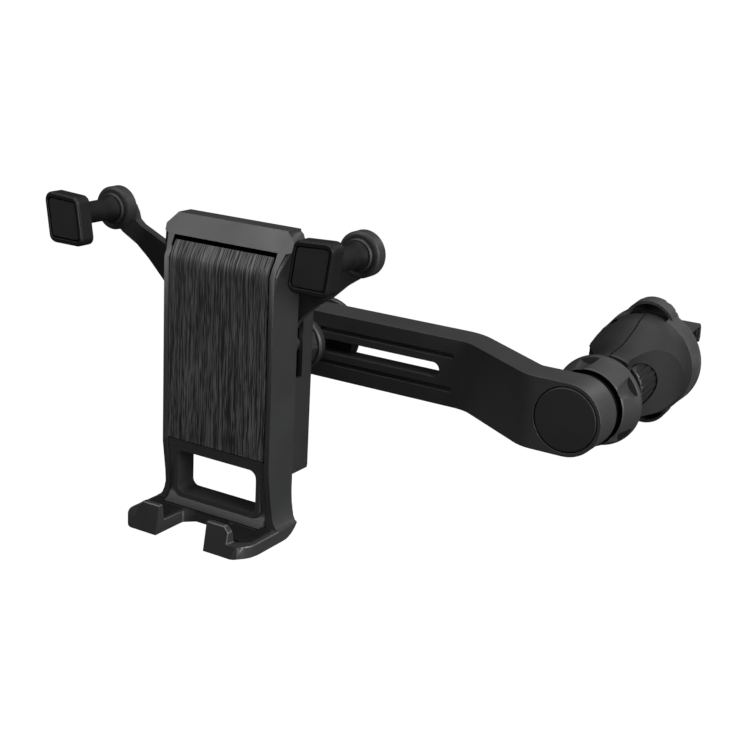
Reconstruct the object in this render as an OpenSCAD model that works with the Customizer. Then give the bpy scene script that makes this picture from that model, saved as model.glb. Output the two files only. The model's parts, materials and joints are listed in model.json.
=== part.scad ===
// Air vent phone holder: a gravity cradle with two closing arms, on an
// offset extension arm that ends in a ball joint and an air vent clip.
//
// Cradle frame: x = 0 on the cradle's centre line, y = 0 on the front face
// of the brushed plate (+Y towards the dashboard), z = 0 at the level of
// the phone's lower edge. Every module is drawn in that frame and moved by
// place(), so that the row's origin is the middle of the vent clip's rear face.

/* [Cradle] */
// Width of the cradle frame over its side walls
frame_w = 48; // [47.6:0.2:48.4]
// Depth of the frame's side walls
frame_d = 15; // [14.8:0.1:15]
// Half width of the head band above the plate
band_hw = 28; // [27:0.5:29]
// Height of the foot hooks above the foot
hook_h = 5.2; // [4:0.2:7]
// Width of the cable notch between the hooks
notch_w = 21.6; // [18:0.2:22]

/* [Closing arms] */
// Distance of each arm's boss from the centre line, fully open
boss_x = 53.2; // [52:0.1:56]
// Height of the arm bosses
boss_z = 104; // [102:0.5:106]
// Radius of the arm bosses
boss_r = 7.9; // [7.4:0.1:8.2]
// Distance of the arm pivots from the centre line
pivot_x = 15; // [15:1:15]
// Height of the arm pivots
pivot_z = 62; // [62:1:62]
// Travel of the carriage, from open to closed
travel = 4.2; // [4.2:0.1:4.2]

/* [Extension arm] */
// Height of the arm section
arm_h = 25.8; // [25:0.2:27]
// Forward offset between the slotted part and the round end
arm_jog = 21.6; // [20:0.2:22]
// Right-hand end of the slot
slot_end = 59.3; // [56:0.1:60]
// Height of the slot
slot_h = 5.4; // [5.4:0.1:5.6]
// Distance from the cradle's centre line to the round end's centre
arm_x = 119.35; // [118:0.05:121]

/* [Vent clip] */
// Radius of the vent ball
vball_r = 8.5; // [8.5:0.1:8.5]
// Upward lean of the clip on its ball, in degrees
lean = 5.5; // [0:0.5:6]
// Radius of the clip's rim
rim_r = 19.3; // [19:0.1:19.6]
// Length of the hook behind the clip's rear face
hook_len = 36.8; // [30:0.2:38]
// Number of ribs on the thumb wheel
wheel_ribs = 26; // [20:2:30]

/* [Hidden] */
$fn = 64;

za = 53.1;                 // height of the extension arm's centre line
arm_y = 56;                // front plane of the slotted part
arm_t = 14.4;              // depth of the arm section
web_t = 8.3;               // depth of the slotted web
end_y = arm_y - arm_jog;   // front plane of the round end
end_t = 13.6;              // depth of the round end
bv = [arm_x, 60.8, za];    // centre of the vent ball
bc = [0, 47, za];          // centre of the cradle ball
cball_r = 6.5;             // radius of the cradle ball
L_rear = 52.8;             // rear face of the clip, measured from the vent ball
org = bv + L_rear * [0, cos(lean), sin(lean)];
lever_a = atan(travel / 2 / pivot_x);  // angle of the arms' levers at rest

module place() translate(-org) children();
module clip() place() translate(bv) rotate([lean, 0, 0]) children();
// extrusion along +X of a (y, z) outline, from x0 to x1
module along_x(x0, x1) translate([x0, 0, 0]) rotate([90, 0, 90]) linear_extrude(x1 - x0) children();
// extrusion along +Y of an (x, z) outline, from y0 to y1
module along_y(y0, y1) translate([0, y1, 0]) rotate([90, 0, 0]) linear_extrude(y1 - y0) children();
// round bar along +Y
module ycyl(r, y0, y1, r2 = -1) translate([0, y0, 0]) rotate([-90, 0, 0]) cylinder(h = y1 - y0, r1 = r, r2 = r2 < 0 ? r : r2);
// round bar along +X
module xcyl(r, x0, x1) translate([x0, 0, 0]) rotate([0, 90, 0]) cylinder(h = x1 - x0, r = r);
// body turned about the Y axis from a list of [radius, y]
module yturn(pts) rotate([-90, 0, 0]) rotate_extrude() polygon(pts);
// rectangle centred on the origin, with round corners
module rrect(w, h, r) union() {
  square([w - 2 * r, h], center = true);
  square([w, h - 2 * r], center = true);
  for (i = [-1, 1], j = [-1, 1]) translate([i * (w / 2 - r), j * (h / 2 - r)]) circle(r);
}
// outline from the Y axis out to a circle of radius r about (0, c), between two heights
function cap(r, c, y0, y1, n) = let (a0 = asin((y0 - c) / r), a1 = asin((y1 - c) / r))
  [for (i = [0:n]) [r * cos(a0 + (a1 - a0) * i / n), c + r * sin(a0 + (a1 - a0) * i / n)]];
function unit(v) = v / norm(v);
// rounded corner at p1 of a polygon that comes from p0 and goes to p2
function corner(p0, p1, p2, r, n) = let (u = unit(p0 - p1), w = unit(p2 - p1), h = acos(u * w) / 2,
    c = p1 + unit(u + w) * r / sin(h), a = p1 + u * r / tan(h) - c, b = p1 + w * r / tan(h) - c,
    a0 = atan2(a[1], a[0]), d0 = atan2(b[1], b[0]) - a0, d = d0 > 180 ? d0 - 360 : d0 < -180 ? d0 + 360 : d0)
  [for (i = [0:n]) c + r * [cos(a0 + d * i / n), sin(a0 + d * i / n)]];
function arc(cx, cy, r, a0, a1, n) = [for (i = [0:n]) [cx + r * cos(a0 + (a1 - a0) * i / n), cy + r * sin(a0 + (a1 - a0) * i / n)]];

// ---------------------------------------------------------------- carriage
hw = frame_w / 2;
inner_hw = hw - 1.9;
lean_z = 91.5;                       // where the front face starts to lean back
function face_y(z) = z > lean_z ? (z - lean_z) * 0.5 : 0;
top_z = 106.6;

// side view of the frame's walls, with its rounded lower back corner
module wall_outline() polygon(concat(
  [[0, 22], [0, lean_z], [face_y(top_z), top_z], [frame_d, top_z]],
  arc(frame_d - 10, 4.4, 10, 0, -90, 10),
  [[1.5, -5.6], [2.2, 5.5]]));

module foot_outline() difference() {
  polygon([[-28, 6], [-28, -12], [-27.6, -14.2], [-26.4, -16.4], [-24.6, -18.6], [-22.6, -19.6], [22.6, -19.6], [24.6, -18.6], [26.4, -16.4],
           [27.6, -14.2], [28, -12], [28, 6], [26.6, 10], [24, 13], [-24, 13], [-26.6, 10]]);
  polygon([[-notch_w / 2, -30], [-notch_w / 2, -4.2], [-notch_w / 2 + 3.6, -0.8],
           [notch_w / 2 - 3.6, -0.8], [notch_w / 2, -4.2], [notch_w / 2, -30]]);
}

module foot_hook() intersection() {
  along_x(notch_w / 2, 20.4) polygon([[-19.6, -5.6], [-19.6, -3.2], [-17.7, hook_h], [-15.6, hook_h], [-14.7, -1], [-14.7, -5.6]]);
  along_y(-20, -14) polygon([[notch_w / 2, -5.6], [notch_w / 2, hook_h], [18.4, hook_h], [20.4, hook_h - 2], [20.4, -5.6]]);
}

module frame_boss() for (x = [-18.4, 18.4], z = [30, 88]) translate([x, 0, z]) ycyl(2.6, 3, 12.4);
module frame_boss_bore() for (x = [-18.4, 18.4], z = [30, 88]) translate([x, 0, z]) ycyl(0.95, 5, 13);

module front_frame() color([0.25, 0.25, 0.26]) place() difference() {
  union() {
    difference() {
      union() {
        along_x(-hw, hw) wall_outline();
        // flare of the side walls into the foot
        intersection() {
          along_y(0.6, frame_d) polygon([[-28, -5.6], [-28, -1], [-26.8, -0.5], [-25.6, 0.8], [-24.8, 2.8], [-24.3, 5.4], [-24, 10], [24, 10], [24.3, 5.4], [24.8, 2.8], [25.6, 0.8], [26.8, -0.5], [28, -1], [28, -5.6]]);
          along_x(-30, 30) wall_outline();
        }
        // head band, wider than the walls, with cut corners
        intersection() {
          along_y(0, frame_d - 0.4) polygon([[-24, 94], [-25.4, 99.4], [-band_hw + 0.6, 100.2], [-band_hw + 0.3, 102.3], [-band_hw + 4.2, top_z],
            [band_hw - 4.4, top_z], [band_hw, 103], [band_hw, 100.2], [25.4, 99.4], [24, 94]]);
          along_x(-30, 30) wall_outline();
        }
        // flare of the walls into the band, a little behind the band's face
        intersection() {
          along_y(0, frame_d - 0.4) polygon([[-24, 87.5], [-24.9, 93], [-band_hw + 0.5, 100.6], [-24, 101], [24, 101], [band_hw - 0.5, 100.6], [24.9, 93], [24, 87.5]]);
          translate([0, 0.7, 0]) along_x(-30, 30) wall_outline();
        }
      }
      // room behind the plate, open at the back
      translate([-inner_hw, 3.1, 24]) cube([2 * inner_hw, frame_d, 67]);
      // room for the liner and the window, open in front and at the back
      translate([-21.9, -1, -0.9]) cube([43.8, frame_d + 2, 24.95]);
      // seat of the slide plate
      translate([-22.2, 12.5, 22]) cube([44.4, 4, 72.1]);
      // cut corners at the top
      for (s = [-1, 1]) translate([s * band_hw, 0, top_z]) rotate([0, s * 51.4, 0]) translate([-10, -1, 0.02]) cube([20, frame_d + 3, 6]);
      // blunt rear corners of the band, clear of the swinging arms
      for (s = [-1, 1]) scale([s, 1, 1]) translate([0, 0, 90]) linear_extrude(20) polygon([[25.2, 14.9], [28.3, 12.1], [29, 16], [25.2, 16]]);
      // shallow seat of the plate and the deeper groove above it
      along_x(-21.95, 21.95) polygon([[-1, 24], [1.6, 24], [1.6, lean_z - 0.4], [face_y(96) + 1.7, 95.6], [face_y(96) - 1, 98], [-1, 98]]);
      along_x(-22.6, 22.2) polygon([[0, 95.4], [face_y(95.4) + 2.3, 95.4], [face_y(99) + 2.3, 98.2], [face_y(99.6) - 1, 99.8], [0, 99.8]]);
    }
    frame_boss();
    // foot plate and hooks
    difference() {
      translate([0, 0, -5.6]) linear_extrude(4.6) foot_outline();
      // rounded lower back corner
      along_x(-40, 40) polygon(concat(arc(frame_d - 10, 4.4, 10, -90, 0, 10), [[frame_d + 2, 4.4], [frame_d + 2, -7], [frame_d - 10, -7]]));
    }
    foot_hook();
    mirror([1, 0, 0]) foot_hook();
  }
  frame_boss_bore();
  // the foot's front leans back in one plane with the hooks
  along_x(-40, 40) polygon([[-19.7, -5.7], [-17.7, hook_h], [-17.7, hook_h + 2], [-25, hook_h + 2], [-25, -5.7]]);
  // room for the slide plate's lower edge stays clear of the foot
  translate([-21.9, 11.9, 3.3]) cube([43.8, 6, 21]);
}

module brushed_plate() color([0.22, 0.22, 0.23]) place()
  along_x(-21.75, 21.35) polygon([[0.1, 24.25], [0.1, 88.5], [0.35, 91.2], [1.0, 93.6], [face_y(96) + 0.05, 95.9],
    [face_y(96) + 1.25, 95.3], [1.95, 93], [1.5, 90.8], [1.5, 24.25]]);

module lower_liner() color([0.13, 0.13, 0.135]) place() difference() {
  union() {
    // front panel that runs into the foot with a hollow fillet
    along_x(-21.7, 21.7) polygon(concat([[0.35, 23.95], [2.2, 6]], arc(-2.6, 4.4, 4.9, 8, -80, 6), [[-1.4, -0.8], [6.6, -0.8], [6.6, 2], [3.6, 4], [2.2, 23.95]]));
    // tunnel around the window
    translate([0, 0, 11.4]) along_y(1.2, 10.6) rrect(39.2, 20.4, 4);
  }
  translate([0, 0, 11.5]) along_y(-6, 16) rrect(35.6, 16.6, 2.8);
}

module foot_pad() color([0.1, 0.1, 0.105]) place() difference() {
  translate([0, 0, -1]) linear_extrude(0.75) difference() {
    polygon([[-25.6, 0.4], [-25.6, -11.6], [-22.4, -14.5], [22.4, -14.5], [25.6, -11.6], [25.6, 0.4], [21, 0.4], [21, -0.2], [-21, -0.2], [-21, 0.4]]);
    polygon([[-12, -30], [-12, -3.7], [-8, -2.3], [8, -2.3], [12, -3.7], [12, -30]]);
  }
  translate([-21.85, -3.6, -2]) cube([43.7, 8, 4]);
}

module slide_plate() color([0.16, 0.16, 0.165]) place() difference() {
  union() {
    translate([-22.0, 12.6, 22.3]) cube([44.0, 2.0, 71.6]);
    // guide blocks that run in the housing cover's slots
    for (x = [-13, 13]) translate([x - 2.1, 14.5, 31]) cube([4.2, 4.2, 10]);
    // spring tongue
    translate([-3.6, 14.5, 33]) cube([7.2, 10.2, 3]);
    // drive pin of both arms
    translate([0, 0, pivot_z + travel / 2]) { ycyl(3.4, 14.5, 15.1); ycyl(1.5, 14.5, 22.8); }
  }
  for (x = [-18.4, 18.4], z = [30, 88]) translate([x, 0, z]) { ycyl(1.25, 12, 15); ycyl(2.3, 13.4, 15.2); }
  for (x = [-13, 13]) translate([x, 0, 36]) ycyl(0.95, 13.4, 19);
}

module pan_screw(r, head_r, head_h, len) union() {
  ycyl(r, -len, 0.01);
  ycyl(head_r, 0, head_h);
}

module frame_screws() color([0.6, 0.6, 0.62]) place()
  for (x = [-18.4, 18.4], z = [30, 88]) translate([x, 13.42, z]) difference() {
    pan_screw(0.93, 2.0, 1.15, 7);
    translate([-1.3, 0.7, -0.2]) cube([2.6, 1, 0.4]);
    translate([-0.2, 0.7, -1.3]) cube([0.4, 1, 2.6]);
  }

module guide_screws() color([0.6, 0.6, 0.62]) place()
  for (x = [-13, 13]) translate([x, 18.72, 36]) difference() {
    pan_screw(0.93, 3.6, 1.1, 4.6);
    translate([-1.3, 0.6, -0.2]) cube([2.6, 1, 0.4]);
    translate([-0.2, 0.6, -1.3]) cube([0.4, 1, 2.6]);
  }

// ----------------------------------------------------------------- housing
hh = 20;         // half width of the housing
hz0 = 12.4;      // lower end
hz1 = 98;        // upper end
hy0 = 15.4;      // front, just behind the frame
hy1 = 32.4;      // back
slot_z0 = 50;    // lower end of the side openings for the arms

module rear_housing() color([0.17, 0.17, 0.175]) place() difference() {
  union() {
    difference() {
      // outer shell with rounded upright back edges
      translate([0, 0, hz0 + 0.9]) linear_extrude(hz1 - hz0 - 0.9) intersection() {
        translate([0, hy1 - 30]) rrect(2 * hh, 60, 2.4);
        translate([-30, hy0 + 0.3]) square([60, 40]);
      }
      // cut lower and upper back edges
      along_x(-30, 30) polygon([[hy1 - 3.0, hz0 - 0.1], [hy1 + 1, hz0 - 0.1], [hy1 + 1, hz0 + 4.1]]);
      along_x(-30, 30) polygon([[hy1 - 3.4, hz1 + 1], [hy1 + 1, hz1 + 1], [hy1 + 1, hz1 - 3.6]]);
      // inside of the lower box
      translate([-hh + 1.8, hy0, hz0 + 1.8]) cube([2 * hh - 3.6, hy1 - hy0 - 2, 36.2]);
      // inside of the upper part
      translate([-hh + 1.8, hy0, slot_z0]) cube([2 * hh - 3.6, hy1 - hy0 - 2, hz1 - slot_z0 - 1.8]);
      // open sides, front and top where the arms swing
      translate([-30, hy0, slot_z0]) cube([60, 24.7 - hy0, 60]);
      // lap for the cover
      translate([-hh + 1.8, hy0, hz0 + 1.8]) cube([2 * hh - 3.6, 2.4, 60]);
    }
    // bosses of the arm pivots
    for (s = [-1, 1]) translate([s * pivot_x, 0, pivot_z]) ycyl(3.6, 23.0, hy1 - 1.8);
    // bosses of the cover screws
    for (x = [-15.6, 15.6], z = [17.2, 46.6]) translate([x, 0, z]) ycyl(2.5, 17.1, hy1 - 1.8);
    // bosses of the retainer screws
    for (x = [-9.5, 9.5]) translate([x, 0, za]) ycyl(2.2, 27.1, hy1 - 1.8);
    // spring seat
    translate([0, 21.4, hz0 + 1.7]) cylinder(h = 2.3, r = 1.7);
    // inner pad on which the stud's head bears
    translate([0, 0, za]) ycyl(7.0, 29, hy1 - 1.8);
    // collar round the stud's bore
    translate([0, 0, za]) ycyl(7.4, hy1 - 2, hy1 + 1.2, 6.6);
  }
  for (s = [-1, 1]) translate([s * pivot_x, 0, pivot_z]) ycyl(2.0, 22, 28.4);
  for (x = [-15.6, 15.6], z = [17.2, 46.6]) translate([x, 0, z]) ycyl(0.95, 16, 27);
  for (x = [-9.5, 9.5]) translate([x, 0, za]) ycyl(0.75, 26, 29.6);
  translate([0, 0, za]) ycyl(3.6, 20, 40);
}

module housing_cover() color([0.14, 0.14, 0.145]) place() difference() {
  along_y(15.45, 17.05) translate([0, (14.4 + 55.6) / 2]) rrect(36.1, 41.2, 1.5);
  // slots of the guide blocks
  for (x = [-13, 13]) translate([x, 0, 36 - travel / 2]) along_y(15, 18) square([4.5, 10 + travel + 0.8], center = true);
  // slot of the spring tongue
  translate([0, 0, 34.5 - travel / 2]) along_y(15, 18) square([7.7, 3 + travel + 0.8], center = true);
  for (x = [-15.6, 15.6], z = [17.2, 46.6]) translate([x, 0, z]) { ycyl(1.2, 15, 18); ycyl(2.1, 15, 16.1); }
  // clearance of the arm hubs
  for (s = [-1, 1]) translate([s * pivot_x, 0, pivot_z]) ycyl(8, 15, 18);
}

module cover_screws() color([0.6, 0.6, 0.62]) place()
  for (x = [-15.6, 15.6], z = [17.2, 46.6]) translate([x, 16.08, z]) mirror([0, 1, 0]) difference() {
    pan_screw(0.93, 1.9, 0.55, 8);
    translate([-1.2, 0.25, -0.2]) cube([2.4, 1, 0.4]);
    translate([-0.2, 0.25, -1.2]) cube([0.4, 1, 2.4]);
  }

module arm_pivot_pins() color([0.7, 0.7, 0.72]) place()
  for (s = [-1, 1]) translate([s * pivot_x, 0, pivot_z]) union() {
    ycyl(1.98, 16.9, 28.3);
    ycyl(3.2, 16.2, 16.95);
  }

// the right arm runs in the front layer and the left arm in the rear one
module pivot_spacers() color([0.75, 0.75, 0.74]) place() {
  translate([pivot_x, 0, pivot_z]) difference() { ycyl(3.4, 20.1, 22.9); ycyl(2.05, 19, 24); }
  translate([-pivot_x, 0, pivot_z]) difference() { ycyl(3.4, 17.1, 19.9); ycyl(2.05, 16, 21); }
}

module stud_retainer() color([0.65, 0.65, 0.67]) place() difference() {
  along_y(26.0, 27.05) translate([0, za]) rrect(25, 9, 3);
  for (x = [-9.5, 9.5]) translate([x, 0, za]) ycyl(0.9, 25, 28);
}

module retainer_screws() color([0.6, 0.6, 0.62]) place()
  for (x = [-9.5, 9.5]) translate([x, 25.98, za]) mirror([0, 1, 0]) pan_screw(0.73, 1.6, 0.8, 3);

// coil of the return spring, between the housing's floor and the tongue
spring_r = 2.7;
wire_r = 0.4;
spring_z0 = hz0 + 1.85 + wire_r;
spring_z1 = 32.95 - wire_r;
coils = 8;
coil_n = 14;
function coil_at(t) = [spring_r * cos(360 * t), 21.4 + spring_r * sin(360 * t), spring_z0 + (spring_z1 - spring_z0) * t / coils];
module return_spring() color([0.7, 0.7, 0.72]) place() {
  steps = coils * coil_n;
  pts = [for (i = [0:steps]) let (t = i / coil_n, c = coil_at(t), a = 360 * t)
    for (k = [0:5]) c + wire_r * (cos(60 * k) * [cos(a), sin(a), 0] + sin(60 * k) * [0, 0, 1])];
  faces = concat(
    [for (i = [0:steps - 1], k = [0:5]) [i * 6 + k, i * 6 + (k + 1) % 6, (i + 1) * 6 + k]],
    [for (i = [0:steps - 1], k = [0:5]) [i * 6 + (k + 1) % 6, (i + 1) * 6 + (k + 1) % 6, (i + 1) * 6 + k]],
    [[for (k = [5:-1:0]) k], [for (k = [0:5]) steps * 6 + k]]);
  polyhedron(pts, faces, convexity = 10);
}

// ------------------------------------------------------------ closing arms
// drawn for the left side; the lever's layer is y0..y1, low is the blade's
// lower edge from the boss to the hub, and root its back plane beside the hub
module arm_body(y0, y1, low, root, bz) difference() {
  union() {
    // blade, slanting forward from the root to the boss
    intersection() {
      along_y(6, 24) polygon(concat(
        [[-boss_x, bz]], low,
        [[-16.6, 66.2], [-14.4, 70.5], [-17.4, 79], [-24, 83.4], [-37.9, 93.6], [-44.2, 98.3], [-45.7, 100.2], [-46.2, 102.6], [-boss_x + 6, bz + 1.5]]));
      translate([0, 0, 50]) linear_extrude(60) polygon([[-10, 16.3], [-32.2, 16.3], [-50, 7.6], [-62, 7.6], [-62, 10.8], [-50.4, 10.8],
        [-33, 19.3], [-30, root], [-10, root]]);
    }
    // thin root and lever in this arm's own layer
    along_y(y0, y1) union() {
      polygon([[-20.6, 70.4], [-19.6, 61.6], [-15, 57.5], [-10.5, 61], [-11.6, 66], [-14.6, 71], [-18, 80]]);
      translate([-pivot_x, pivot_z]) circle(4.6);
      translate([-pivot_x, pivot_z]) rotate(lever_a) polygon([[0, -3.6], [17.6, -2.9], [18.4, -2.2], [18.4, 2.2], [17.6, 2.9], [0, 3.6]]);
    }
    // boss and the core of the gripping finger
    translate([-boss_x, 0, bz]) {
      yturn([[0, 4.6], [5.2, 4.6], [5.6, 5.0], [5.6, 5.5], [6.6, 5.4], [7.3, 5.5], [boss_r, 6.1], [boss_r, 10.1], [boss_r - 0.7, 10.8], [0, 10.8]]);
      ycyl(2.2, -16.6, 4.7);
    }
  }
  translate([-pivot_x, 0, pivot_z]) ycyl(2.05, 14, 24);
  // slot for the drive pin
  translate([-pivot_x, 0, pivot_z]) rotate([0, -lever_a, 0]) along_y(14, 24) translate([15.08, 0]) rrect(3.9, 3.3, 1.64);
  // everything near the hub outside this arm's layer is cut away
  translate([-pivot_x, 0, pivot_z]) { ycyl(5.4, 15, y0); ycyl(5.4, y1, 24); }
  // blind hole for the pad screw
  translate([-boss_x, 0, bz]) ycyl(0.75, -18, -9);
}

module sleeve_body(bz) translate([-boss_x, 0, bz]) difference() {
  yturn([[0, 4.55], [4.8, 4.55], [4.95, 4.1], [4.5, 2.9], [4.1, 1.2], [3.92, -1.5], [3.88, -7], [4.05, -11], [4.5, -14.95], [0, -14.95]]);
  ycyl(2.22, -16, 6);
}

// pad outline of half width w and half height h: a leaning parallelogram
// with round corners, its upper end further out than its lower end
pad_dx = 1.1;    // offset of the pad's centre from its arm's boss
lean_k = 0.145;
rise_k = 0.05;
function pad_quad(w, h) = [[-w - lean_k * h, h + rise_k * w], [w - lean_k * h, h - rise_k * w], [w + lean_k * h, -h], [-w + lean_k * h, -h]];
module pad_outline(w, h, r) {
  q = pad_quad(w, h);
  polygon([for (i = [0:3]) each corner(q[(i + 3) % 4], q[i], q[(i + 1) % 4], r, 6)]);
}
module pad_body(bz) translate([-boss_x + pad_dx, 0, bz - 0.5]) difference() {
  union() {
    along_y(-20.5, -15.0) pad_outline(7.85, 8.8, 2.8);
    along_y(-21.1, -20.5) pad_outline(7.45, 8.4, 2.5);
  }
  along_y(-22, -19.9) pad_outline(6.6, 7.0, 1.5);
  translate([-pad_dx, 0, 0.5]) { ycyl(2.22, -16.65, -14); ycyl(1.0, -21, -14); ycyl(2.1, -21, -18.4); }
}

module pad_face_body(bz) translate([-boss_x + pad_dx, 0, bz - 0.5])
  along_y(-20.75, -19.95) pad_outline(6.2, 6.6, 1.2);

module pad_screw_body(bz) translate([-boss_x, -18.42, bz]) mirror([0, 1, 0]) difference() {
  pan_screw(0.73, 1.8, 0.9, 7);
  translate([-1.2, 0.5, -0.2]) cube([2.4, 1, 0.4]);
  translate([-0.2, 0.5, -1.2]) cube([0.4, 1, 2.4]);
}

right_boss_z = boss_z - 0.7;   // the right boss sits a little lower
left_low = [[-54.7, 96.4], [-50.9, 96.2], [-45.2, 91.2], [-41.3, 86.2], [-36.1, 78.3], [-31, 71.4], [-24, 64.6], [-19.6, 64]];
right_low = [[-55.4, 96.2], [-53, 95.2], [-50.6, 93.5], [-45.4, 90.3], [-37.3, 84.1], [-30.3, 79.7], [-25.5, 75.5], [-22.4, 71.9], [-19.6, 67]];
module left_arm() color([0.16, 0.16, 0.165]) place() arm_body(20.2, 22.6, left_low, 22.45, boss_z);
module right_arm() color([0.16, 0.16, 0.165]) place() mirror([1, 0, 0]) arm_body(17.3, 19.7, right_low, 19.55, right_boss_z);
module left_sleeve() color([0.1, 0.1, 0.105]) place() sleeve_body(boss_z);
module right_sleeve() color([0.1, 0.1, 0.105]) place() mirror([1, 0, 0]) sleeve_body(right_boss_z);
module left_pad() color([0.11, 0.11, 0.115]) place() pad_body(boss_z);
module right_pad() color([0.11, 0.11, 0.115]) place() mirror([1, 0, 0]) pad_body(right_boss_z);
module left_pad_face() color([0.09, 0.09, 0.095]) place() pad_face_body(boss_z);
module right_pad_face() color([0.09, 0.09, 0.095]) place() mirror([1, 0, 0]) pad_face_body(right_boss_z);
module left_pad_screw() color([0.6, 0.6, 0.62]) place() pad_screw_body(boss_z);
module right_pad_screw() color([0.6, 0.6, 0.62]) place() mirror([1, 0, 0]) pad_screw_body(right_boss_z);

// ------------------------------------------------- cradle's ball and slider
module cradle_ball_stud() color([0.12, 0.12, 0.125]) place() translate(bc) difference() {
  union() {
    sphere(cball_r, $fn = 96);
    ycyl(3.5, -18.2, -4);
    ycyl(6.0, -19.7, -18.2);
  }
  // screwdriver slot in the foot of the stud
  translate([-4, -20.2, -0.5]) cube([8, 1, 1]);
}

module cradle_ball_cup() color([0.5, 0.5, 0.5]) place() translate(bc)
  yturn(concat(cap(7.35, 0, -3.4, 5.0, 14), cap(6.56, 0, 5.0, -3.4, 14)));

module cradle_nut() color([0.2, 0.2, 0.205]) place() translate(bc) difference() {
  intersection() {
    yturn([[0, -4.4], [7.6, -4.4], [8.3, -3.6], [9.1, 3.2], [10.4, 5.0], [10.4, 6.4], [9.9, 7.0], [0, 7.0]]);
    // flats of the grip
    union() {
      ycyl(11, 4.2, 8);
      rotate([-90, 0, 0]) translate([0, 0, -6]) cylinder(h = 12, r = 9.15, $fn = 10);
    }
  }
  ycyl(8.7, -0.6, 8);
  sphere(7.6, $fn = 96);
}

module slider_socket() color([0.13, 0.13, 0.135]) place() translate([0, 0, za]) difference() {
  union() {
    ycyl(8.6, 46.6, 54.5);
    ycyl(9.6, 54.3, 55.75);
    // ribs in the arm's guide grooves
    for (s = [-1, 1]) along_y(55.7, 56.9) translate([0, s * 6.4]) rrect(13, 1.2, 0.58);
    // neck through the slot
    along_y(55.7, 64.6) rrect(10, 5.0, 1.2);
  }
  yturn(concat(cap(7.45, 47, 46.0, 54.3, 16), [[0, 54.3], [0, 46.0]]));
  for (x = [-3, 3]) translate([x, 0, 0]) ycyl(0.95, 57.5, 65);
}

module slider_back_plate() color([0.15, 0.15, 0.155]) place() translate([0, 0, za]) difference() {
  union() {
    along_y(64.6, 67.0) rrect(32, 17.6, 8.6);
    along_y(66.9, 68.6) rrect(26, 12, 5.8);
    // neck and the disc that bears on the arm's back
    ycyl(8, 68.5, 71);
    yturn([[0, 70.75], [13.9, 70.75], [14.5, 71.3], [14.5, 72.8], [13.8, 73.5], [0, 73.5]]);
  }
  for (x = [-3, 3]) translate([x, 0, 0]) { ycyl(1.25, 64, 69); ycyl(2.3, 67.4, 75); }
}

module slider_screws() color([0.6, 0.6, 0.62]) place() for (x = [-3, 3]) translate([x, 67.42, za]) difference() {
  pan_screw(0.93, 2.0, 1.1, 8.8);
  translate([-1.3, 0.6, -0.2]) cube([2.6, 1, 0.4]);
  translate([-0.2, 0.6, -1.3]) cube([0.4, 1, 2.6]);
}

// ----------------------------------------------------------- extension arm
jog_a = 33;                            // slope of the middle segment
v1 = [87.2 - (arm_jog / 2) / tan(jog_a), arm_y];
v2 = [87.2 + (arm_jog / 2) / tan(jog_a), end_y];
bend_r = 14;
bt = bend_r * tan(jog_a / 2);
off = 11.3;                            // depth of the middle segment
w1 = [v1[0] + off * sin(jog_a) + (off * cos(jog_a) - arm_t) / tan(jog_a), arm_y + arm_t];
w2 = [v2[0] + off * sin(jog_a) + (off * cos(jog_a) - end_t) / tan(jog_a), end_y + end_t];

module arm_plan() polygon(concat(
  [[-20, arm_y]],
  arc(v1[0] - bt, arm_y - bend_r, bend_r, 90, 90 - jog_a, 6),
  arc(v2[0] + bt, end_y + bend_r, bend_r, 270 - jog_a, 270, 6),
  [[140, end_y], [140, end_y + end_t]],
  arc(w2[0] + 3 * tan(jog_a / 2), end_y + end_t + 3, 3, 270, 270 - jog_a, 4),
  arc(w1[0] - 20 * tan(jog_a / 2), arm_y + arm_t - 20, 20, 90 - jog_a, 90, 6),
  [[-20, arm_y + arm_t]]));

module arm_face() union() {
  translate([-10, 0]) rrect(20, arm_h, 4);
  translate([-10, -arm_h / 2]) square([arm_x + 10, arm_h]);
  translate([arm_x, 0]) circle(arm_h / 2);
}

module long_slot(x0, x1, h) union() {
  translate([(x0 + x1) / 2, 0]) square([x1 - x0 - h, h], center = true);
  for (x = [x0 + h / 2, x1 - h / 2]) translate([x, 0]) circle(h / 2);
}

module extension_arm() color([0.21, 0.21, 0.215]) place() translate([0, 0, za]) difference() {
  intersection() {
    translate([0, 0, -arm_h / 2]) linear_extrude(arm_h) arm_plan();
    along_y(20, 80) arm_face();
  }
  // through slot of the slider's neck
  along_y(50, 80) long_slot(-9, slot_end, slot_h);
  // guide grooves on the front
  for (s = [-1, 1]) along_y(50, arm_y + 1.2) translate([0, s * 6.4]) long_slot(-13, 65, 1.7);
  // channel in the back, in which the back plate slides
  along_y(arm_y + web_t, 80) translate([(67 - 18) / 2, 0]) rrect(85, 19.6, 3);
  // seat of the end cap, and the stepped bore behind it
  translate([arm_x, 0, 0]) {
    ycyl(11.6, end_y - 1, end_y + 1.25);
    ycyl(7.6, end_y, end_y + 6.6);
    ycyl(6.05, end_y, end_y + end_t + 1);
  }
}

module end_cap() color([0.12, 0.12, 0.125]) place() translate([arm_x, 0, za])
  yturn([[0, end_y - 0.05], [10.9, end_y - 0.05], [11.3, end_y + 0.3], [11.3, end_y + 1.2], [0, end_y + 1.2]]);

// ------------------------------------------------------- socket of the arm
module end_socket() color([0.13, 0.13, 0.135]) place() translate([arm_x, 0, za]) difference() {
  union() {
    ycyl(6.0, end_y + 6.8, 51.4);
    ycyl(11.4, 51.2, 61.6);
  }
  yturn(concat(cap(9.55, 60.8, 51.4, 62.0, 20), [[0, 62.0], [0, 51.4]]));
  ycyl(1.75, 40, 50);
}

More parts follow.
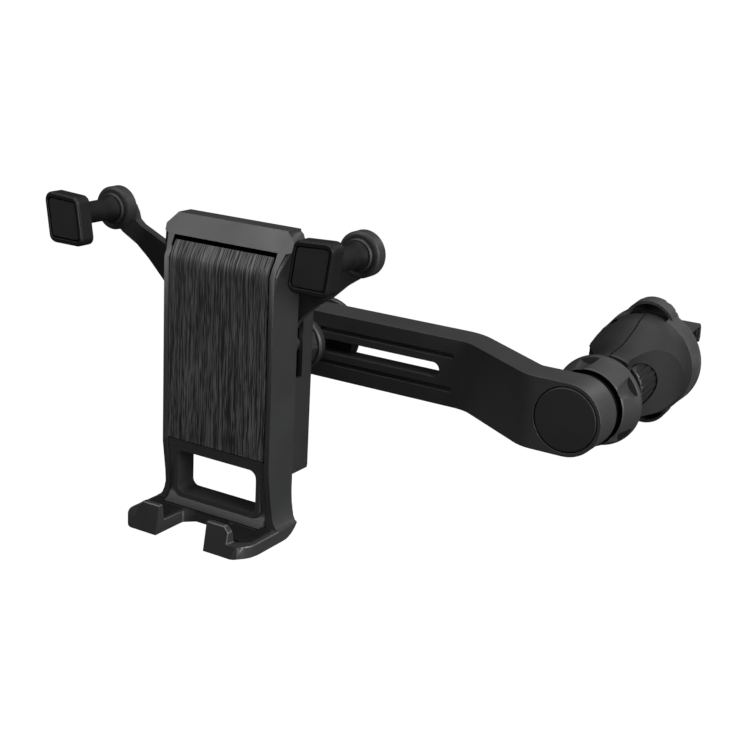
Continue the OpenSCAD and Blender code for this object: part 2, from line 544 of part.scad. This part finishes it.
module friction_washer() color([0.05, 0.05, 0.05]) place() translate([arm_x, 0, za]) difference() {
  yturn([[0, 48.05], [12.0, 48.05], [12.4, 48.5], [12.4, 50.6], [12.0, 51.1], [0, 51.1]]);
  ycyl(6.1, 47, 52);
}

module bolt_washer() color([0.62, 0.62, 0.64]) place() translate([arm_x, 0, za]) difference() {
  ycyl(7.3, end_y + 5.8, end_y + 6.55);
  ycyl(1.9, end_y + 5, end_y + 8);
}

module pivot_bolt() color([0.6, 0.6, 0.62]) place() translate([arm_x, 0, za]) difference() {
  union() {
    ycyl(4.0, end_y + 2.6, end_y + 5.75);
    ycyl(1.73, end_y + 5.7, 49.6);
  }
  // hexagon recess
  translate([0, end_y + 2.5, 0]) rotate([-90, 0, 0]) cylinder(h = 1.8, r = 2, $fn = 6);
}

module vent_nut() color([0.24, 0.24, 0.245]) place() translate([arm_x, 0, za]) difference() {
  yturn([[0, 51.3], [13.4, 51.3], [14.0, 52.0], [14.5, 55], [15.2, 59], [15.9, 61.4], [16.2, 62.1], [16.2, 62.9], [15.5, 63.8], [0, 63.8]]);
  // five finger hollows between the lobes
  for (a = [32, 104, 176, 248, 320]) rotate([0, -a, 0]) translate([18.0, 0, 0]) ycyl(4.6, 50, 61.0);
  ycyl(11.5, 50, 61.9);
  translate([0, 60.8, 0]) sphere(9.65, $fn = 96);
}

module vent_ball_cup() color([0.5, 0.5, 0.5]) place() translate(bv)
  yturn(concat(cap(9.45, 0, -6.0, 2.6, 14), cap(8.56, 0, 2.6, -6.0, 14)));

// --------------------------------------------------------------- vent clip
// all of it is drawn along +Y from the ball's centre, then leaned up by clip()
module vent_ball_stem() color([0.12, 0.12, 0.125]) clip() union() {
  sphere(vball_r, $fn = 96);
  ycyl(4.5, 6, 12.0);
  ycyl(8.6, 12.0, 13.4);
}

// along the bell: length, half width on the right, half height, half width on the left
bell = [[10.8, 13.5, 13.4, 9.9], [11.9, 14.2, 14.0, 10.3], [15, 14.3, 13.9, 10.5], [18, 14.4, 13.8, 11.0], [20, 14.9, 13.9, 11.9],
        [22, 16.2, 14.1, 13.2], [24, 17.4, 14.4, 14.7], [25.6, 18.2, 14.8, 16.0], [29, 19.0, 15.6, 18.5], [33, 19.3, 16.6, 19.2],
        [37, 19.3, 18.3, 19.3], [40, 19.3, 19.2, 19.3], [43.2, 19.25, 19.25, 19.25]];
bell_n = 56;
module bell_shape() {
  m = len(bell);
  pts = [for (s = bell, i = [0:bell_n - 1]) let (a = 360 * i / bell_n) [(cos(a) > 0 ? s[1] : s[3]) * cos(a), s[0], s[2] * sin(a)]];
  sides = [for (j = [0:m - 2], i = [0:bell_n - 1]) let (k = (i + 1) % bell_n) [j * bell_n + i, (j + 1) * bell_n + k, (j + 1) * bell_n + i]];
  sides2 = [for (j = [0:m - 2], i = [0:bell_n - 1]) let (k = (i + 1) % bell_n) [j * bell_n + i, j * bell_n + k, (j + 1) * bell_n + k]];
  polyhedron(pts, concat(sides, sides2, [[for (i = [bell_n - 1:-1:0]) i]], [[for (i = [0:bell_n - 1]) (m - 1) * bell_n + i]]), convexity = 6);
}

// s = -1 for the left half and 1 for the right half
module clip_half(s) difference() {
  union() {
    bell_shape();
    ycyl(16.8, 43.1, 48);
  }
  // the other half
  translate([s > 0 ? -30 : 0, 0, -30]) cube([30, 60, 60]);
  // opening of the stem and groove of its flange
  ycyl(4.9, 5, 15);
  ycyl(8.7, 11.95, 13.45);
  // room of the thumb wheel
  ycyl(11.6, 14.6, 31.6);
  // bore and rear room
  ycyl(4.4, 30, 50);
  ycyl(11.6, 34, 50);
  // finger scoop, lower on the left side
  intersection() {
    translate([s * 30, s > 0 ? 14 : 16.5, -40]) cylinder(h = 80, r = s > 0 ? 23.5 : 23.8, $fn = 128);
    union() {
      if (s > 0) translate([0, -10, -40]) cube([40, 60, 80]);
      else { translate([0, 30, 0]) xcyl(8.2, -40, 0); translate([-40, -10, -8.2]) cube([40, 40, 16.4]); }
    }
  }
  // screws across the two halves, from the left
  for (h = [-14.3, 14.3]) translate([0, 39.4, h]) { xcyl(1.25, -12, 8); xcyl(2.3, -20, -5.2); }
}

module clip_half_left() color([0.26, 0.26, 0.27]) clip() clip_half(-1);
module clip_half_right() color([0.26, 0.26, 0.27]) clip() clip_half(1);

module clip_screws() color([0.6, 0.6, 0.62]) clip() for (h = [-14.3, 14.3]) translate([0, 39.4, h]) difference() {
  union() {
    xcyl(1.22, -5.6, 7.6);
    xcyl(2.15, -6.7, -5.22);
  }
  translate([-7, -1.3, -0.2]) cube([1, 2.6, 0.4]);
  translate([-7, -0.2, -1.3]) cube([1, 0.4, 2.6]);
}

// half of the rubber shoe with its finger lug, drawn for the upper side;
// the lug is a disc of radius r about height hc
module shoe(hc, r) difference() {
  union() {
    yturn([[0, 43.3], [rim_r, 43.3], [19.8, 51.6], [19.2, 52.8], [0, 52.8]]);
    // lug
    along_y(46.6, 52.8) intersection() {
      translate([0, hc]) circle(r);
      translate([-13, 5]) square([26, 30]);
    }
  }
  // hollow front of the lug, down to the level of the bell's edge
  along_y(43.2, 50.6) difference() {
    translate([0, hc]) circle(r - 1.1);
    circle(17.75);
  }
  translate([-40, 40, -40]) cube([80, 20, 40.08]);
  // seat on the clip's halves and on the base plate
  ycyl(16.9, 42, 50.2);
  // passage of the hook
  ycyl(7.8, 40, 60);
  // grip lines of the rear face
  for (h = [10, 13, 16, 19, 22]) translate([-30, 52.3, h - 0.4]) cube([60, 2, 0.8]);
}

module upper_shoe() color([0.2, 0.2, 0.205]) clip() shoe(13.2, 10.1);
module lower_shoe() color([0.2, 0.2, 0.205]) clip() mirror([0, 0, 1]) shoe(15, 10.3);

module base_plate() color([0.14, 0.14, 0.145]) clip() difference() {
  union() {
    ycyl(16.6, 48.05, 50.15);
    ycyl(11.4, 46.4, 48.1);
  }
  translate([-3.15, 40, -3.15]) cube([6.3, 20, 6.3]);
}

module thumb_wheel() color([0.15, 0.15, 0.155]) clip() difference() {
  yturn([[0, 14.9], [10.2, 14.9], [11.2, 15.8], [11.2, 30.4], [10.2, 31.3], [0, 31.3]]);
  for (i = [0:wheel_ribs - 1]) rotate([0, i * 360 / wheel_ribs, 0]) translate([11.55, 0, 0]) ycyl(0.75, 14, 32);
  ycyl(3.0, 10, 40);
}

hook_end = L_rear + hook_len;
module vent_hook() color([0.2, 0.2, 0.205]) clip() union() {
  // screw and square shank
  ycyl(2.9, 25, 44.2);
  translate([-3, 44, -3]) cube([6, 22, 6]);
  // plate with the down-turned end
  intersection() {
    along_x(-6.4, 6.4) polygon(concat([[62.5, 3.0], [64.5, 3.6]],
      arc(hook_end - 3, 0.6, 3, 90, 0, 6), arc(hook_end - 3, -2.2, 3, 0, -55, 4),
      arc(hook_end - 3, -2.2, 1.4, -55, 0, 4), arc(hook_end - 3, 0.6, 1.4, 0, 90, 4), [[66, 1.9], [62.5, 1.0]]));
    linear_extrude(20, center = true) polygon([[-3, 62], [-6.4, 68], [-6.4, 100], [6.4, 100], [6.4, 68], [3, 62]]);
  }
}

// rubber lining inside the hook's end
module hook_grip() color([0.08, 0.08, 0.085]) clip()
  translate([-5.6, hook_end - 2.6, -1.9]) cube([11.2, 0.98, 2.6]);

front_frame();
brushed_plate();
lower_liner();
foot_pad();
slide_plate();
frame_screws();
guide_screws();
rear_housing();
housing_cover();
cover_screws();
arm_pivot_pins();
pivot_spacers();
stud_retainer();
retainer_screws();
return_spring();
left_arm();
left_sleeve();
left_pad();
left_pad_face();
left_pad_screw();
right_arm();
right_sleeve();
right_pad();
right_pad_face();
right_pad_screw();
cradle_ball_stud();
cradle_ball_cup();
cradle_nut();
slider_socket();
slider_back_plate();
slider_screws();
extension_arm();
end_cap();
end_socket();
friction_washer();
pivot_bolt();
bolt_washer();
vent_nut();
vent_ball_cup();
vent_ball_stem();
clip_half_left();
clip_half_right();
upper_shoe();
lower_shoe();
base_plate();
clip_screws();
thumb_wheel();
vent_hook();
hook_grip();
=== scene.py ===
import bpy
import bmesh
import json
import math
from mathutils import Vector, Matrix


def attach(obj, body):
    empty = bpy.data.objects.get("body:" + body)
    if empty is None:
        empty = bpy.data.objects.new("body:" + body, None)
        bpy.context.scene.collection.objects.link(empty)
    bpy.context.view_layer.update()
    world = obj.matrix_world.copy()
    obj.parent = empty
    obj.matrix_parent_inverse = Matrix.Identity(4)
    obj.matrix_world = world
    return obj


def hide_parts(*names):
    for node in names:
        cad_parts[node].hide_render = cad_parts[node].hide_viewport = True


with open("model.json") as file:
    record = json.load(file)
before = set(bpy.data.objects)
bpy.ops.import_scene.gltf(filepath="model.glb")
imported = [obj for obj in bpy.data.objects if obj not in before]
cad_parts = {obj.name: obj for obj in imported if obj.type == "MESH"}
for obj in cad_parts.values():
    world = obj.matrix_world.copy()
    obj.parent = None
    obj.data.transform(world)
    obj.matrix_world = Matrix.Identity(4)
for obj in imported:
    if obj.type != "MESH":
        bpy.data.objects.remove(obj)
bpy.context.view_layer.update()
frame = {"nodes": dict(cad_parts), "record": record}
scene = bpy.context.scene
nodes = frame["nodes"]
record = frame["record"]
body_of = {n: b for b, ns in record["behaviour"]["bodies"].items() for n in ns}
slot_of = {s["node"]: s["material_slot"] for s in record["subparts"]}

# ------------------------------------------------------------------ materials


class Mat:
    """A small helper that wires one node material."""

    def __init__(self, name):
        self.m = bpy.data.materials.new(name)
        self.m.use_nodes = True
        self.t = self.m.node_tree
        self.b = self.t.nodes["Principled BSDF"]
        self.co = self.t.nodes.new("ShaderNodeTexCoord").outputs["Object"]

    def link(self, a, b):
        self.t.links.new(a, b)

    def mapped(self, scale, rot=(0, 0, 0), loc=(0, 0, 0)):
        n = self.t.nodes.new("ShaderNodeMapping")
        n.inputs["Scale"].default_value = scale
        n.inputs["Rotation"].default_value = rot
        n.inputs["Location"].default_value = loc
        self.link(self.co, n.inputs["Vector"])
        return n.outputs["Vector"]

    def noise(self, scale, detail=2.0, rough=0.5, distort=0.0, vec=None):
        n = self.t.nodes.new("ShaderNodeTexNoise")
        n.inputs["Scale"].default_value = scale
        n.inputs["Detail"].default_value = detail
        n.inputs["Roughness"].default_value = rough
        n.inputs["Distortion"].default_value = distort
        self.link(vec if vec is not None else self.co, n.inputs["Vector"])
        return n.outputs["Fac"]

    def cells(self, scale, vec=None):
        n = self.t.nodes.new("ShaderNodeTexVoronoi")
        n.inputs["Scale"].default_value = scale
        self.link(vec if vec is not None else self.co, n.inputs["Vector"])
        return n.outputs["Distance"]

    def range(self, v, a, b, lo=0.0, hi=1.0):
        n = self.t.nodes.new("ShaderNodeMapRange")
        n.inputs["From Min"].default_value = lo
        n.inputs["From Max"].default_value = hi
        n.inputs["To Min"].default_value = a
        n.inputs["To Max"].default_value = b
        self.link(v, n.inputs["Value"])
        return n.outputs["Result"]

    def math(self, op, a, b):
        n = self.t.nodes.new("ShaderNodeMath")
        n.operation = op
        for i, v in enumerate((a, b)):
            if hasattr(v, "links"):
                self.link(v, n.inputs[i])
            else:
                n.inputs[i].default_value = v
        return n.outputs[0]

    def ramp(self, v, stops):
        n = self.t.nodes.new("ShaderNodeValToRGB")
        r = n.color_ramp
        while len(r.elements) < len(stops):
            r.elements.new(0.5)
        for e, (p, c) in zip(r.elements, stops):
            e.position = p
            e.color = (c[0], c[1], c[2], 1.0)
        self.link(v, n.inputs["Fac"])
        return n.outputs["Color"]

    def bump(self, h, strength, dist, under=None):
        n = self.t.nodes.new("ShaderNodeBump")
        n.inputs["Strength"].default_value = strength
        n.inputs["Distance"].default_value = dist
        self.link(h, n.inputs["Height"])
        if under is not None:
            self.link(under, n.inputs["Normal"])
        return n.outputs["Normal"]


def grey(v, tint=1.0):
    return (v, v * (0.5 + 0.5 * tint), v * tint)


def moulded(name, base, rough=0.5, grain=0.22, depth=0.35, spread=0.10, spec=0.5, tint=1.03, shade=None):
    """Spark-textured moulding: a fine pebbled grain of `grain` mm, faint flow mottling, uneven gloss."""
    k = Mat(name)
    fine = k.cells(1000.0 / grain)
    soft = k.noise(1000.0 / (grain * 3.2), 3.0, 0.55)
    flow = k.noise(38.0, 3.0, 0.5, 0.6)
    mix = k.math("ADD", k.math("MULTIPLY", soft, 0.45), k.math("MULTIPLY", flow, 0.55))
    colour = k.ramp(mix, [(0.30, grey(base * (1 - spread), tint)), (0.52, grey(base, tint)), (0.74, grey(base * (1 + spread), tint))])
    # painted shade: where the shade mask is set, the colour is pushed to near black, standing in for shadow in
    # gaps and grooves
    if shade is not None:
        sep = k.t.nodes.new("ShaderNodeSeparateXYZ")
        k.link(k.co, sep.inputs[0])
        near = shade(k, sep.outputs[0], sep.outputs[1], sep.outputs[2])
        dark = k.t.nodes.new("ShaderNodeMix")
        dark.data_type = "RGBA"
        k.link(near, dark.inputs[0])
        k.link(colour, dark.inputs[6])
        dark.inputs[7].default_value = (0.001, 0.001, 0.001, 1.0)
        colour = dark.outputs[2]
    k.link(colour, k.b.inputs["Base Color"])
    k.link(k.range(k.math("ADD", k.math("MULTIPLY", flow, 0.6), k.math("MULTIPLY", soft, 0.4)), rough - 0.07, rough + 0.07, 0.3, 0.7),
           k.b.inputs["Roughness"])
    n = k.bump(soft, depth * 0.6, 0.00006)
    n = k.bump(fine, depth, 0.00003, n)
    k.link(n, k.b.inputs["Normal"])
    # inside the painted shade the specular is turned down as well, so the shaded area shows no reflection
    if shade is not None:
        k.link(k.range(near, spec, 0.0), k.b.inputs["Specular IOR Level"])
    else:
        k.b.inputs["Specular IOR Level"].default_value = spec
    return k.m


def seam_line(k, x, y, z):
    """Shadow line of the clip's parting seam."""
    return k.math("LESS_THAN", k.math("ABSOLUTE", x, 0.0), 0.00020)


def painted_ring_shade(k, x, y, z):
    """Painted shadow on the front face of the lobed ring, inside the gap behind the round end."""
    return k.math("LESS_THAN", y, -0.06185)


def painted_groove_shade(k, x, y, z):
    """Painted shadow inside the groove under the head band, behind the plane of the band's face."""
    deep = k.math("GREATER_THAN", k.math("SUBTRACT", y, k.math("MULTIPLY", z, 0.5)), -0.12970)
    wide = k.math("LESS_THAN", k.math("ABSOLUTE", k.math("ADD", x, 0.11955), 0.0), 0.0227)
    tall = k.math("MULTIPLY", k.math("LESS_THAN", z, 0.0424), k.math("GREATER_THAN", z, 0.0365))
    front = k.math("LESS_THAN", y, -0.10486)
    return k.math("MULTIPLY", k.math("MULTIPLY", deep, wide), k.math("MULTIPLY", tall, front))


def brushed(name):
    """Dark sheet with fine upright brushing that runs on over the bent top."""
    k = Mat(name)
    sway = k.noise(190.0, 1.0, 0.5, 0.0, k.mapped((1.0, 0.6, 0.6)))
    shift = k.math("MULTIPLY", k.math("SUBTRACT", sway, 0.5), 0.0007)
    sep = k.t.nodes.new("ShaderNodeSeparateXYZ")
    k.link(k.co, sep.inputs[0])
    across = k.math("ADD", sep.outputs[0], shift)

    def lines(scale, run):
        com = k.t.nodes.new("ShaderNodeCombineXYZ")
        k.link(across, com.inputs[0])
        k.link(k.math("MULTIPLY", sep.outputs[1], run), com.inputs[1])
        k.link(k.math("MULTIPLY", sep.outputs[2], run), com.inputs[2])
        return k.noise(scale, 0.0, 0.5, 0.0, com.outputs[0])

    broad = lines(2700.0, 0.022)
    thin = lines(4600.0, 0.040)
    s = k.math("ADD", k.math("MULTIPLY", broad, 0.55), k.math("MULTIPLY", thin, 0.45))
    k.link(k.ramp(s, [(0.40, grey(0.009)), (0.47, grey(0.026)), (0.53, grey(0.058)), (0.60, grey(0.105))]), k.b.inputs["Base Color"])
    k.link(k.range(s, 0.60, 0.46, 0.35, 0.65), k.b.inputs["Roughness"])
    k.link(k.bump(s, 0.6, 0.00012), k.b.inputs["Normal"])
    k.b.inputs["Metallic"].default_value = 0.2
    k.b.inputs["Specular IOR Level"].default_value = 0.36
    return k.m


def rubbery(name, base=0.012, rough=0.72, spec=0.35):
    k = Mat(name)
    fine = k.noise(5200.0, 2.0, 0.6)
    soft = k.noise(160.0, 3.0, 0.5)
    k.link(k.ramp(soft, [(0.3, grey(base * 0.8)), (0.7, grey(base * 1.25))]), k.b.inputs["Base Color"])
    k.link(k.range(soft, rough - 0.08, rough + 0.08, 0.3, 0.7), k.b.inputs["Roughness"])
    k.link(k.bump(fine, 0.3, 0.00004), k.b.inputs["Normal"])
    k.b.inputs["Specular IOR Level"].default_value = spec
    return k.m


def steel(name):
    k = Mat(name)
    scratch = k.noise(1800.0, 3.0, 0.6, 0.0, k.mapped((1.0, 0.08, 1.0)))
    spot = k.noise(220.0, 2.0, 0.5)
    k.link(k.ramp(spot, [(0.3, (0.42, 0.42, 0.43)), (0.7, (0.58, 0.58, 0.59))]), k.b.inputs["Base Color"])
    k.link(k.range(scratch, 0.24, 0.42, 0.3, 0.7), k.b.inputs["Roughness"])
    k.link(k.bump(scratch, 0.2, 0.00003), k.b.inputs["Normal"])
    k.b.inputs["Metallic"].default_value = 1.0
    return k.m


def nylon(name):
    k = Mat(name)
    soft = k.noise(120.0, 3.0, 0.5)
    fine = k.noise(3000.0, 2.0, 0.5)
    k.link(k.ramp(soft, [(0.3, (0.50, 0.49, 0.46)), (0.7, (0.62, 0.61, 0.58))]), k.b.inputs["Base Color"])
    k.link(k.range(soft, 0.38, 0.5, 0.3, 0.7), k.b.inputs["Roughness"])
    k.link(k.bump(fine, 0.15, 0.00003), k.b.inputs["Normal"])
    return k.m


M = {
    # the frame plastics carry a painted shadow in the groove under the head band
    "frame": moulded("frame_plastic", 0.023, 0.38, 0.20, 0.30, shade=painted_groove_shade),
    # the next two are lighter copies of the frame and pad plastics: a painted highlight for their rounded edges
    "frame_highlight": moulded("frame_highlight_plastic", 0.062, 0.34, 0.20, 0.15, shade=painted_groove_shade),
    "pad_highlight": moulded("pad_highlight_plastic", 0.009, 0.45, 0.24, 0.15, 0.10, 0.24),
    "liner": moulded("liner_plastic", 0.022, 0.50, 0.22, 0.30),
    "dark": moulded("dark_plastic", 0.013, 0.50, 0.22, 0.30),
    "housing": moulded("housing_plastic", 0.014, 0.50, 0.24, 0.35),
    "link": moulded("link_plastic", 0.019, 0.48, 0.24, 0.30, 0.10, 0.38),
    "arm": moulded("arm_plastic", 0.024, 0.46, 0.26, 0.40),
    # painted shadow on the ring's front face in the gap behind the round end
    "ring": moulded("ring_plastic", 0.023, 0.52, 0.22, 0.30, 0.10, 0.34, 1.03, painted_ring_shade),
    "clip": moulded("clip_plastic", 0.0105, 0.52, 0.22, 0.30, 0.10, 0.28, 1.03, seam_line),
    "nut": moulded("nut_plastic", 0.026, 0.52, 0.22, 0.30, 0.10, 0.36),
    "pad": moulded("pad_plastic", 0.0055, 0.50, 0.24, 0.30, 0.10, 0.2),
    "cap": moulded("cap_plastic", 0.012, 0.50, 0.22, 0.25),
    "washer": rubbery("washer_rubber", 0.0012, 0.7, 0.04),
    "wheel": moulded("wheel_plastic", 0.0085, 0.44, 0.22, 0.25, 0.10, 0.36),
    "rubber": rubbery("soft_rubber", 0.0085),
    "sleeve": rubbery("sleeve_rubber", 0.0040, 0.62, 0.14),
    "shoe": rubbery("shoe_rubber", 0.030, 0.60, 0.24),
    "footpad": rubbery("foot_rubber", 0.0045, 0.65, 0.15),
    "brushed": brushed("brushed_sheet"),
    "steel": steel("screw_steel"),
    "nylon": nylon("nylon_liner"),
}

# node: (material, bevel width in mm, segments, angle)
SKIN = {
    "front_frame": ("frame", 0.38, 2, 38),
    "brushed_plate": ("brushed", 0.22, 2, 50),
    "lower_liner": ("liner", 0.35, 2, 35),
    "foot_pad": ("footpad", 0.2, 2, 40),
    "slide_plate": ("dark", 0.15, 1, 40),
    "rear_housing": ("housing", 0.4, 2, 38),
    "housing_cover": ("dark", 0.15, 1, 40),
    "left_arm": ("link", 0.35, 2, 38),
    "right_arm": ("link", 0.35, 2, 38),
    "left_sleeve": ("sleeve", 0.3, 2, 40),
    "right_sleeve": ("sleeve", 0.3, 2, 40),
    "left_pad": ("pad", 0.3, 2, 38),
    "right_pad": ("pad", 0.3, 2, 38),
    "left_pad_face": ("rubber", 0.25, 2, 40),
    "right_pad_face": ("rubber", 0.25, 2, 40),
    "cradle_nut": ("dark", 0.2, 2, 25),
    "cradle_ball_stud": ("dark", 0.15, 2, 45),
    "slider_socket": ("dark", 0.2, 2, 45),
    "slider_back_plate": ("dark", 0.35, 2, 40),
    "extension_arm": ("arm", 0.5, 3, 38),
    "end_cap": ("cap", 0.2, 2, 25),
    "end_socket": ("dark", 0.2, 2, 45),
    "friction_washer": ("washer", 0.2, 2, 25),
    "vent_nut": ("ring", 0.4, 2, 30),
    "vent_ball_stem": ("dark", 0.2, 2, 45),
    "clip_half_left": ("clip", 0.2, 2, 42),
    "clip_half_right": ("clip", 0.2, 2, 42),
    "upper_shoe": ("shoe", 0.35, 2, 38),
    "lower_shoe": ("shoe", 0.35, 2, 38),
    "base_plate": ("dark", 0.2, 2, 40),
    "thumb_wheel": ("wheel", 0.15, 1, 50),
    "vent_hook": ("nut", 0.25, 2, 38),
    "hook_grip": ("rubber", 0.1, 1, 40),
}
PLAIN = {"steel": "steel", "nylon": "nylon", "rubber": "rubber", "dark": "dark", "housing": "housing",
         "frame": "frame", "arm": "arm", "clip": "clip", "brushed": "brushed"}


# painted highlight: the rounded edges of these mouldings get a lighter colour than the textured faces, standing
# in for light caught by the rounding, and are a little glossier
PAINTED_HIGHLIGHT = {"frame": "frame_highlight", "pad": "pad_highlight"}


def clean(bm, flat):
    bmesh.ops.remove_doubles(bm, verts=bm.verts, dist=3e-6)
    bmesh.ops.dissolve_degenerate(bm, dist=2e-6, edges=bm.edges)
    bmesh.ops.dissolve_limit(bm, angle_limit=math.radians(flat), verts=bm.verts, edges=bm.edges)


def shade(me, angle):
    me.polygons.foreach_set("use_smooth", [True] * len(me.polygons))
    me.set_sharp_from_angle(angle=math.radians(angle))


def skin(node, mat, width, segs, angle):
    src = nodes[node]
    me = src.data.copy()
    me.name = node + "_skin"
    bm = bmesh.new()
    bm.from_mesh(me)
    clean(bm, 0.8)
    if node == "brushed_plate":
        # the bent upper end tucks on up into the groove under the head band
        for v in bm.verts:
            t = (v.co.z - 0.0357) / 0.0020
            if t > 0:
                t = min(t, 1.0)
                v.co.y += 0.0012 * t
                v.co.z += 0.0019 * t
    if node == "front_frame":
        # only edges of the foot, its hooks and the head band whose neighbours leave room are rounded
        lay = bm.edges.layers.float.new("bevel_weight_edge")
        for e in bm.edges:
            if len(e.link_faces) != 2 or e.calc_face_angle(0.0) < math.radians(angle) or e.calc_length() < 0.0008:
                continue
            mid = (e.verts[0].co + e.verts[1].co) * 0.5
            if mid.y > -0.1170 and mid.z < 0.0427:
                continue
            near = [f.calc_length() for v in e.verts for f in v.link_edges]
            if min(near) > 0.0010:
                e[lay] = 1.0
    bm.to_mesh(me)
    bm.free()
    o = bpy.data.objects.new(node + "_skin", me)
    scene.collection.objects.link(o)
    shade(me, 30)
    bev = o.modifiers.new("bevel", "BEVEL")
    bev.width = width / 1000.0
    bev.segments = segs
    bev.limit_method = "WEIGHT" if node == "front_frame" else "ANGLE"
    bev.angle_limit = math.radians(angle)
    bev.use_clamp_overlap = node != "front_frame"
    bev.miter_outer = "MITER_ARC"
    bev.harden_normals = False
    # bevel faces take the lighter second material, a painted highlight on the rounded edges
    if mat in PAINTED_HIGHLIGHT:
        me.materials.clear()
        me.materials.append(M[mat])
        me.materials.append(M[PAINTED_HIGHLIGHT[mat]])
        bev.material = 1
    dg = bpy.context.evaluated_depsgraph_get()
    out = bpy.data.meshes.new_from_object(o.evaluated_get(dg))
    o.modifiers.clear()
    o.data = out
    bpy.data.meshes.remove(me)
    shade(out, 40)
    wn = o.modifiers.new("normals", "WEIGHTED_NORMAL")
    wn.keep_sharp = True
    wn.weight = 60
    dg = bpy.context.evaluated_depsgraph_get()
    out2 = bpy.data.meshes.new_from_object(o.evaluated_get(dg))
    o.modifiers.clear()
    o.data = out2
    bpy.data.meshes.remove(out)
    if mat not in PAINTED_HIGHLIGHT:
        o.data.materials.clear()
        o.data.materials.append(M[mat])
    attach(o, body_of[node])
    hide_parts(node)
    return o


made = {}
for n, (mat, w, s, a) in SKIN.items():
    made[n] = skin(n, mat, w, s, a)

for n, o in nodes.items():
    if n in SKIN:
        continue
    o.data.materials.clear()
    o.data.materials.append(M[PLAIN[slot_of[n]]])
    shade(o.data, 35)

# ------------------------------------------------------------ camera and light
A, E, ROLL = map(math.radians, (30.66, 17.11, 3.14))
back = Vector((math.sin(A) * math.cos(E), -math.cos(A) * math.cos(E), math.sin(E)))
right = Vector((math.cos(A), math.sin(A), 0.0))
up = back.cross(right)
right, up = right * math.cos(ROLL) + up * math.sin(ROLL), -right * math.sin(ROLL) + up * math.cos(ROLL)
eye = (right * 73.93 + up * 62.46 + back * 636.82) * 0.8
origin = Vector((119.35, 113.35691927, 58.16065573))
eye = (eye - origin) / 1000.0
cam_data = bpy.data.cameras.new("camera")
cam_data.sensor_width = 36.0
cam_data.lens = 36.0 * 1393.21 / 750.0
cam_data.clip_start = 0.01
cam_data.clip_end = 20.0
cam = bpy.data.objects.new("camera", cam_data)
scene.collection.objects.link(cam)
m = Matrix((right, up, back)).transposed().to_4x4()
m.translation = eye
cam.matrix_world = m
scene.camera = cam

world = bpy.data.worlds.new("studio")
scene.world = world
world.use_nodes = True
wt = world.node_tree
bg = wt.nodes["Background"]
bg.inputs["Color"].default_value = (1, 1, 1, 1)
bg.inputs["Strength"].default_value = 0.05
bg2 = wt.nodes.new("ShaderNodeBackground")
bg2.inputs["Color"].default_value = (1, 1, 1, 1)
bg2.inputs["Strength"].default_value = 1.0
lp = wt.nodes.new("ShaderNodeLightPath")
mix = wt.nodes.new("ShaderNodeMixShader")
wt.links.new(lp.outputs["Is Camera Ray"], mix.inputs[0])
wt.links.new(bg.outputs[0], mix.inputs[1])
wt.links.new(bg2.outputs[0], mix.inputs[2])
wt.links.new(mix.outputs[0], wt.nodes["World Output"].inputs["Surface"])


def area(name, at, to, size, power, size_y=None):
    d = bpy.data.lights.new(name, "AREA")
    d.energy = power
    d.size = size
    if size_y:
        d.shape = "RECTANGLE"
        d.size_y = size_y
    o = bpy.data.objects.new(name, d)
    scene.collection.objects.link(o)
    at, to = Vector(at), Vector(to)
    o.location = at
    o.rotation_euler = (to - at).to_track_quat("-Z", "Y").to_euler()
    return o


mid = (-0.08, -0.06, -0.01)
area("top_softbox", (-0.05, -0.10, 0.75), mid, 0.8, 6.2)
area("right_softbox", (0.80, -0.20, 0.30), mid, 0.6, 14.6)
area("front_softbox", (-0.58, -0.80, 0.48), mid, 0.4, 3.1)


def glint(name, way, size, power):
    """A light seen only in glossy reflection, so rounded edges catch it."""
    o = area(name, [m + 0.9 * w for m, w in zip(mid, way)], mid, size, power)
    o.visible_diffuse = False
    return o


glint("edge_glint_side", (0.82, -0.49, -0.29), 0.20, 0.8)
glint("edge_glint_top", (-0.49, -0.29, 0.82), 0.25, 0.5)
glint("edge_glint_back", (0.29, 0.82, 0.49), 0.25, 0.6)

# pale floor far below the part, which hangs free
fm = bpy.data.meshes.new("floor")
s = 3.0
fm.from_pydata([(-s, -s, -0.32), (s, -s, -0.32), (s, s, -0.32), (-s, s, -0.32)], [], [(0, 1, 2, 3)])
floor = bpy.data.objects.new("floor", fm)
scene.collection.objects.link(floor)
fmat = bpy.data.materials.new("floor_white")
fmat.use_nodes = True
fb = fmat.node_tree.nodes["Principled BSDF"]
fb.inputs["Base Color"].default_value = (0.02, 0.02, 0.02, 1)
fb.inputs["Roughness"].default_value = 0.9
fb.inputs["Emission Color"].default_value = (1, 1, 1, 1)
fb.inputs["Emission Strength"].default_value = 1.0
fm.materials.append(fmat)
floor.visible_diffuse = False
floor.visible_glossy = False

scene.view_settings.view_transform = "Standard"
scene.view_settings.look = "None"
